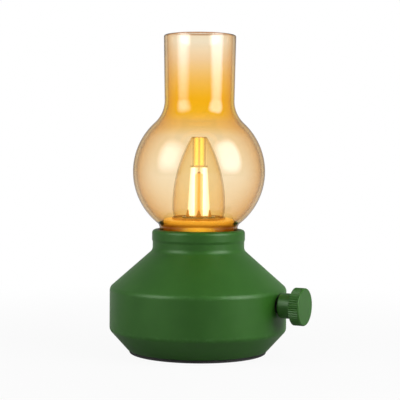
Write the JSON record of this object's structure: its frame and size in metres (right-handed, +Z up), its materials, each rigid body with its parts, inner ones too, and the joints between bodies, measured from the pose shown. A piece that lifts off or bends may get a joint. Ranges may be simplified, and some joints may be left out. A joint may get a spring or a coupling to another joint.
{
  "type": "table lamp",
  "caption": "Lantern-shaped battery table lamp: bevelled metal base with a conical shoulder and dimmer knob, amber glass globe chimney over a candle-shaped lamp.",
  "frame": {"origin": "centre of the circle the rubber foot stands on, on the lamp's axis", "axes": "+Z up along the lamp's axis, +X from the axis to the dimmer knob, +Y away from a viewer who has the knob on the right"},
  "size_m": [0.1366, 0.1184, 0.212],
  "materials": {
    "green_paint": "satin sprayed paint",
    "amber_glass": "clear blown glass, amber tint",
    "clear_glass": "clear, faint gold tint",
    "light_guide": "clear moulding that glows from within",
    "brass": "lacquered",
    "steel": "zinc plated",
    "spring_steel": "nickel plated",
    "black_plastic": "fine moulded grain",
    "black_steel": "black oxide, oiled",
    "rubber": "matt",
    "silicone": "translucent",
    "circuit_board": "solder mask",
    "components": "moulded",
    "white_board": "white solder mask on metal",
    "led_phosphor": "phosphor gel",
    "cell_sleeve": "printed sleeve, left plain",
    "lead_red": "insulation",
    "lead_black": "insulation"
  },
  "bodies": {
    "base": {"body_shell": "green_paint", "foot_ring": "rubber", "base_plate": "black_plastic", "base_screws": "steel", "battery_box": "black_plastic", "battery_box_screws": "steel", "battery_cell_1": "cell_sleeve", "battery_cell_2": "cell_sleeve", "battery_cell_3": "cell_sleeve", "contact_plates": "spring_steel", "contact_springs": "spring_steel", "driver_board": "circuit_board", "board_components": "components", "board_screws": "steel", "battery_leads": "lead_red", "led_leads": "lead_red", "dimmer_leads": "lead_black", "bulb_holder": "brass", "holder_screws": "steel", "seat_ring": "silicone", "bulb_shell": "clear_glass", "bulb_collar": "brass", "led_board": "white_board", "led_ring": "led_phosphor", "bulb_core": "light_guide", "core_pin": "brass", "dimmer_body": "black_plastic", "dimmer_washer": "black_steel", "dimmer_nut": "black_steel"},
    "dimmer": {"dimmer_knob": "green_paint", "dimmer_shaft": "steel"},
    "chimney": {"chimney": "amber_glass"},
    "battery_door": {"battery_door": "black_plastic"}
  },
  "joints": [
    {"name": "dimmer_turn", "type": "hinge", "parent": "base", "child": "dimmer", "pos_m": [0.05925, 0, 0.0351], "axis": [1, 0, 0], "range_deg": [0, 270]},
    {"name": "chimney_lift", "type": "slide", "parent": "base", "child": "chimney", "axis": [0, 0, 1], "range_m": [0, 0.074]},
    {"name": "battery_door_swing", "type": "hinge", "parent": "base", "child": "battery_door", "pos_m": [0, -0.029, 0.0031], "axis": [-1, 0, 0], "range_deg": [0, 85]}
  ]
}
